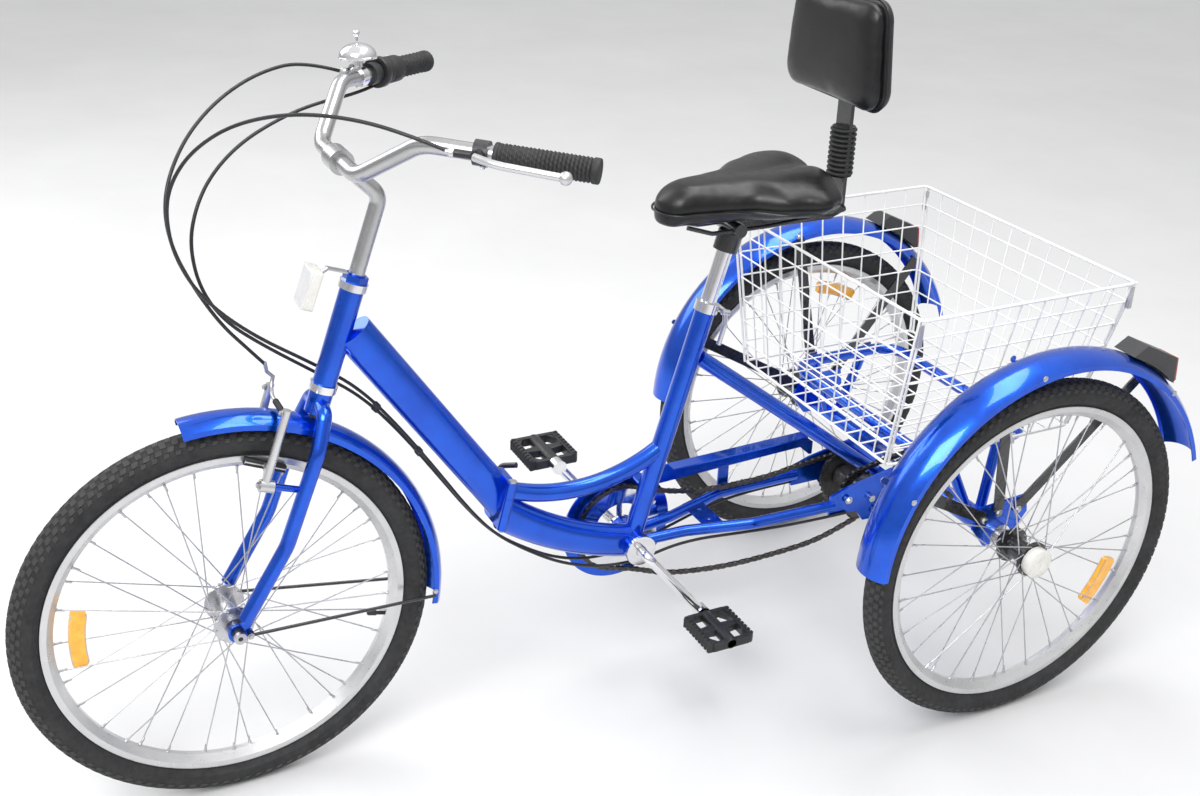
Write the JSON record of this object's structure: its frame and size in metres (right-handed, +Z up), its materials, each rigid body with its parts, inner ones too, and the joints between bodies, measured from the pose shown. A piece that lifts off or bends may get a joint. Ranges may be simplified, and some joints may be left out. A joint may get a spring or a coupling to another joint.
{
  "type": "adult tricycle",
  "caption": "Folding adult tricycle with step-through frame, chain drive to a rear jackshaft and axle, fendered wheels, padded saddle with backrest and a rear cargo basket.",
  "frame": {"origin": "centre of the overall length and width, on the ground under the tricycle", "axes": "+X towards the rider's left, along the rear axle; +Y towards the rear, the front wheel at -Y; +Z up"},
  "size_m": [0.7402, 1.8141, 1.1369],
  "materials": {
    "blue_paint": "gloss metallic",
    "white_paint": "gloss",
    "black_paint": "satin",
    "chrome": "polished",
    "aluminium": "satin",
    "steel": "satin",
    "dark_steel": "oiled",
    "tyre": "matte",
    "rubber": "matte",
    "black_plastic": "matte",
    "vinyl": "semi-gloss vinyl over foam",
    "lens": "prismatic",
    "red_lens": "prismatic"
  },
  "bodies": {
    "rear_body": {"main_frame": "blue_paint", "rear_frame": "blue_paint", "axle_housing": "blue_paint", "bearing_cups": "chrome", "rear_fenders": "blue_paint", "fender_struts": "black_paint", "tail_reflectors": "black_plastic", "basket": "white_paint", "chain_guard": "blue_paint", "primary_chain": "dark_steel", "axle_chain": "dark_steel", "derailleur": "dark_steel", "seat_clamp": "chrome", "rear_brake": "steel", "frame_fittings": "steel"},
    "front_body": {"front_frame": "blue_paint", "headset_cups": "chrome", "rear_brake_cable": "black_plastic", "shift_cable": "black_plastic"},
    "steering": {"fork": "blue_paint", "stem": "aluminium", "handlebar": "aluminium", "grips": "rubber", "brake_brackets": "black_plastic", "bell": "chrome", "front_reflector": "lens", "front_fender": "blue_paint", "front_fender_stays": "black_paint", "front_axle": "steel", "front_brake_cable": "black_plastic"},
    "twist_shifter": {"twist_shifter": "black_plastic"},
    "bell_striker": {"bell_striker": "chrome"},
    "lever_left": {"brake_lever_left": "aluminium"},
    "lever_right": {"brake_lever_right": "aluminium"},
    "brake_arm_left": {"brake_arm_left": "aluminium"},
    "brake_arm_right": {"brake_arm_right": "aluminium"},
    "front_wheel": {"front_tyre": "tyre", "front_rim": "aluminium", "front_hub": "steel"},
    "left_wheel": {"left_tyre": "tyre", "left_rim": "aluminium", "left_hub": "steel", "drive_axle": "steel"},
    "right_wheel": {"right_tyre": "tyre", "right_rim": "aluminium", "right_hub": "steel"},
    "crankset": {"crank": "chrome", "chainring": "chrome"},
    "left_pedal": {"pedal_left": "black_plastic"},
    "right_pedal": {"pedal_right": "black_plastic"},
    "jackshaft": {"jackshaft": "steel"},
    "freewheel": {"freewheel": "dark_steel"},
    "derailleur_cage": {"derailleur_cage": "dark_steel"},
    "seat": {"seat_post": "chrome", "saddle": "vinyl", "saddle_frame": "black_paint", "backrest_bellows": "rubber", "backrest": "vinyl"},
    "seat_clamp_lever": {"seat_clamp_lever": "chrome"},
    "fold_latch": {"fold_latch": "chrome"}
  },
  "joints": [
    {"name": "fold", "type": "hinge", "parent": "rear_body", "child": "front_body", "pos_m": [0.034, -0.18609, 0.402], "axis": [0, 0.2249, 0.9744], "range_deg": [0, 100], "deforming": ["rear_brake_cable", "shift_cable"]},
    {"name": "steer", "type": "hinge", "parent": "front_body", "child": "steering", "pos_m": [0, -0.44709, 0.641], "axis": [0, 0.3256, 0.9455], "range_deg": [-40, 40], "deforming": ["rear_brake_cable", "shift_cable"]},
    {"name": "front_wheel_spin", "type": "hinge", "parent": "steering", "child": "front_wheel", "pos_m": [0, -0.60609, 0.301], "axis": [1, 0, 0], "continuous": true},
    {"name": "left_wheel_spin", "type": "hinge", "parent": "rear_body", "child": "left_wheel", "pos_m": [0, 0.58091, 0.301], "axis": [1, 0, 0], "continuous": true},
    {"name": "right_wheel_spin", "type": "hinge", "parent": "rear_body", "child": "right_wheel", "pos_m": [0, 0.58091, 0.301], "axis": [1, 0, 0], "continuous": true},
    {"name": "jackshaft_spin", "type": "hinge", "parent": "rear_body", "child": "jackshaft", "pos_m": [0, 0.47891, 0.284], "axis": [1, 0, 0], "continuous": true},
    {"name": "crank_spin", "type": "hinge", "parent": "rear_body", "child": "crankset", "pos_m": [0, 0.04791, 0.267], "axis": [1, 0, 0], "continuous": true},
    {"name": "freewheel_spin", "type": "hinge", "parent": "rear_body", "child": "freewheel", "pos_m": [0, 0.47891, 0.284], "axis": [1, 0, 0], "continuous": true},
    {"name": "left_pedal_spin", "type": "hinge", "parent": "crankset", "child": "left_pedal", "pos_m": [0, 0.14925, 0.14319], "axis": [1, 0, 0], "continuous": true},
    {"name": "right_pedal_spin", "type": "hinge", "parent": "crankset", "child": "right_pedal", "pos_m": [0, -0.05343, 0.39081], "axis": [1, 0, 0], "continuous": true},
    {"name": "derailleur_cage_swing", "type": "hinge", "parent": "rear_body", "child": "derailleur_cage", "pos_m": [0, 0.48091, 0.232], "axis": [1, 0, 0], "range_deg": [-25, 8], "stiffness_Nm_per_rad": 0.6, "deforming": ["primary_chain"]},
    {"name": "seat_height", "type": "slide", "parent": "rear_body", "child": "seat", "axis": [0, 0.2796, 0.9601], "range_m": [-0.06, 0.05]},
    {"name": "seat_clamp_open", "type": "hinge", "parent": "rear_body", "child": "seat_clamp_lever", "pos_m": [0.019, 0.18619, 0.65597], "axis": [0, -0.9601, 0.2796], "range_deg": [0, 110]},
    {"name": "fold_latch_open", "type": "hinge", "parent": "rear_body", "child": "fold_latch", "pos_m": [-0.033, -0.17732, 0.39998], "axis": [0, 0.2249, 0.9744], "range_deg": [0, 110]},
    {"name": "left_lever_pull", "type": "hinge", "parent": "steering", "child": "lever_left", "pos_m": [0.23931, -0.31621, 1.01645], "axis": [-0.0058, 0.0861, 0.9963], "range_deg": [0, 9], "stiffness_Nm_per_rad": 2},
    {"name": "right_lever_pull", "type": "hinge", "parent": "steering", "child": "lever_right", "pos_m": [-0.23931, -0.31621, 1.01645], "axis": [-0.0058, -0.0861, -0.9963], "range_deg": [0, 9], "stiffness_Nm_per_rad": 2},
    {"name": "left_arm_squeeze", "type": "hinge", "parent": "steering", "child": "brake_arm_left", "pos_m": [0.043, -0.49462, 0.50295], "axis": [0, -0.9455, 0.3256], "range_deg": [0, 3.6]},
    {"name": "right_arm_squeeze", "type": "hinge", "parent": "steering", "child": "brake_arm_right", "pos_m": [-0.043, -0.49462, 0.50295], "axis": [0, 0.9455, -0.3256], "range_deg": [0, 3.6]},
    {"name": "gear_twist", "type": "hinge", "parent": "steering", "child": "twist_shifter", "pos_m": [-0.23845, -0.26264, 1.00943], "axis": [-0.6155, 0.7855, -0.0643], "range_deg": [-60, 50]},
    {"name": "bell_flick", "type": "hinge", "parent": "steering", "child": "bell_striker", "pos_m": [-0.19928, -0.31919, 1.06339], "axis": [-0.6155, 0.7855, -0.0643], "range_deg": [0, 12], "stiffness_Nm_per_rad": 0.02}
  ],
  "couplings": [
    {"joint": "jackshaft_spin", "follows": "left_wheel_spin", "ratio": 1},
    {"joint": "freewheel_spin", "follows": "crank_spin", "ratio": 2.375},
    {"joint": "left_arm_squeeze", "follows": "right_lever_pull", "ratio": 0.38},
    {"joint": "right_arm_squeeze", "follows": "right_lever_pull", "ratio": 0.38}
  ]
}
